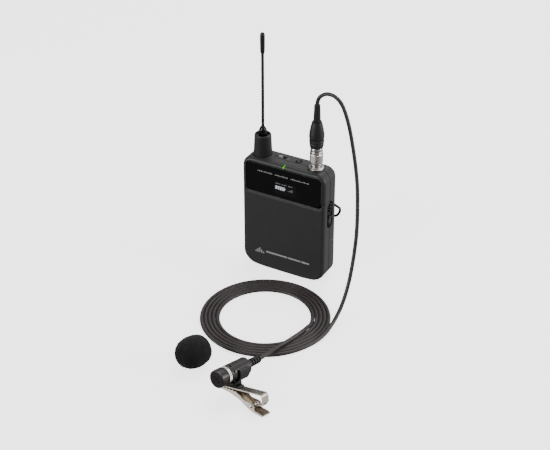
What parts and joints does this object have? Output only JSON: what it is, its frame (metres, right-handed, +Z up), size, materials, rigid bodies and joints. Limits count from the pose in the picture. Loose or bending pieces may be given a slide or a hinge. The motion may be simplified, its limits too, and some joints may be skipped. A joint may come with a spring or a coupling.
{
  "type": "wireless lavalier microphone set",
  "caption": "Slim bodypack with whip antenna, display and belt clip, a coiled lead to a lapel microphone on a toothed tie clip, and a loose foam windscreen.",
  "frame": {"origin": "centre of the flat foot under the bodypack, on the surface the whole set lies on", "axes": "+Z up, -Y out of the bodypack's display side, +X to the display's right"},
  "size_m": [0.1008, 0.1816, 0.1779],
  "materials": {
    "case_plastic": "fine-textured charcoal",
    "door_plastic": "fine-textured charcoal",
    "window_gloss": "glossy black",
    "oled_glass": "dark display glass",
    "green_light": "lit green lens",
    "black_plastic": "satin black",
    "grey_plastic": "satin grey",
    "rubber": "matt black",
    "cable_jacket": "brown-black vinyl, satin",
    "mic_lacquer": "satin black lacquer",
    "bright_nickel": "bright nickel",
    "clip_steel": "warm nickel on sheet steel",
    "dark_steel": "blackened steel",
    "circuit_board": "solder-masked board",
    "cell_wrap": "printed-free cell wrap",
    "foam": "open-cell foam"
  },
  "bodies": {
    "bodypack": {"front_case": "case_plastic", "rear_case": "case_plastic", "display_window": "window_gloss", "oled_display": "oled_glass", "status_light": "green_light", "function_light": "black_plastic", "door_hinge_pin": "dark_steel", "battery_tray": "black_plastic", "main_board": "circuit_board", "rf_shield": "bright_nickel", "battery_left": "cell_wrap", "battery_right": "cell_wrap", "contact_spring_low": "bright_nickel", "contact_spring_high": "bright_nickel", "contact_plate_high": "bright_nickel", "contact_plate_low": "bright_nickel", "case_screw_left": "dark_steel", "case_screw_right": "dark_steel", "tray_screw_1": "dark_steel", "tray_screw_2": "dark_steel", "tray_screw_3": "dark_steel", "antenna_sleeve": "rubber", "antenna_nut": "bright_nickel", "antenna_ferrule": "window_gloss", "antenna_whip": "rubber", "antenna_tip": "rubber", "jack_shell": "bright_nickel", "jack_nut": "bright_nickel", "jack_insert": "black_plastic"},
    "door": {"battery_door": "door_plastic"},
    "latch_left": {"latch_left": "black_plastic"},
    "latch_right": {"latch_right": "black_plastic"},
    "power_switch": {"power_switch": "grey_plastic"},
    "mute_button": {"mute_button": "black_plastic"},
    "menu_button": {"menu_button": "grey_plastic"},
    "up_button": {"up_button": "grey_plastic"},
    "down_button": {"down_button": "grey_plastic"},
    "belt_clip": {"belt_clip": "dark_steel"},
    "lead": {"plug_shell": "bright_nickel", "plug_insert": "black_plastic", "plug_boot": "rubber", "boot_tail": "rubber", "cable": "cable_jacket", "mic_cap": "mic_lacquer", "mic_ring": "bright_nickel", "mic_body": "mic_lacquer", "dust_mesh": "dark_steel", "mic_capsule": "bright_nickel", "mic_strain_relief": "rubber"},
    "coupling_ring": {"coupling_ring": "bright_nickel"},
    "tie_clip": {"clip_holder": "black_plastic", "clip_rivet": "dark_steel", "clip_arm": "clip_steel", "clip_pin": "bright_nickel", "clip_spring": "bright_nickel"},
    "jaw": {"clip_jaw": "clip_steel"},
    "windscreen": {"windscreen": "foam"}
  },
  "joints": [
    {"name": "door_hinge", "type": "hinge", "parent": "bodypack", "child": "door", "pos_m": [0, -0.0065, 0.0019], "axis": [1, 0, 0], "range_deg": [0, 75]},
    {"name": "latch_left_slide", "type": "slide", "parent": "bodypack", "child": "latch_left", "axis": [0, 0, -1], "range_m": [0, 0.002], "stiffness_N_per_m": 200, "springref_m": -0.002},
    {"name": "latch_right_slide", "type": "slide", "parent": "bodypack", "child": "latch_right", "axis": [0, 0, -1], "range_m": [0, 0.002], "stiffness_N_per_m": 200, "springref_m": -0.002},
    {"name": "power_slide", "type": "slide", "parent": "bodypack", "child": "power_switch", "axis": [1, 0, 0], "range_m": [0, 0.0026]},
    {"name": "mute_press", "type": "slide", "parent": "bodypack", "child": "mute_button", "axis": [0, 0, -1], "range_m": [0, 0.0005], "stiffness_N_per_m": 500, "springref_m": -0.0005},
    {"name": "menu_press", "type": "slide", "parent": "bodypack", "child": "menu_button", "axis": [0, 1, 0], "range_m": [0, 0.0005], "stiffness_N_per_m": 500, "springref_m": -0.0005},
    {"name": "up_press", "type": "slide", "parent": "bodypack", "child": "up_button", "axis": [0, 1, 0], "range_m": [0, 0.0005], "stiffness_N_per_m": 500, "springref_m": -0.0005},
    {"name": "down_press", "type": "slide", "parent": "bodypack", "child": "down_button", "axis": [0, 1, 0], "range_m": [0, 0.0005], "stiffness_N_per_m": 500, "springref_m": -0.0005},
    {"name": "belt_clip_flex", "type": "hinge", "parent": "bodypack", "child": "belt_clip", "pos_m": [0, 0.0103, 0.077], "axis": [1, 0, 0], "range_deg": [0, 12], "stiffness_Nm_per_rad": 0.5, "springref_deg": -5.73},
    {"name": "lead_unplug", "type": "slide", "parent": "bodypack", "child": "lead", "axis": [0, 0, -1], "range_m": [-0.012, 0]},
    {"name": "coupling_ring_turn", "type": "hinge", "parent": "lead", "child": "coupling_ring", "pos_m": [0.0208, 0, 0.0963], "axis": [0, 0, 1], "continuous": true},
    {"name": "tie_clip_turn", "type": "hinge", "parent": "lead", "child": "tie_clip", "pos_m": [0.0374, -0.14335, 0.0166], "axis": [0.2128, 0.9645, -0.1564], "range_deg": [-120, 30]},
    {"name": "jaw_open", "type": "hinge", "parent": "tie_clip", "child": "jaw", "pos_m": [0.05822, -0.14999, 0.00397], "axis": [-0.2128, -0.9645, 0.1564], "range_deg": [0, 25], "stiffness_Nm_per_rad": 0.04, "springref_deg": -17.19},
    {"name": "windscreen_lift", "type": "slide", "parent": "bodypack", "child": "windscreen", "axis": [0.3796, -0.9029, 0.2019], "range_m": [0, 0.0673]}
  ]
}
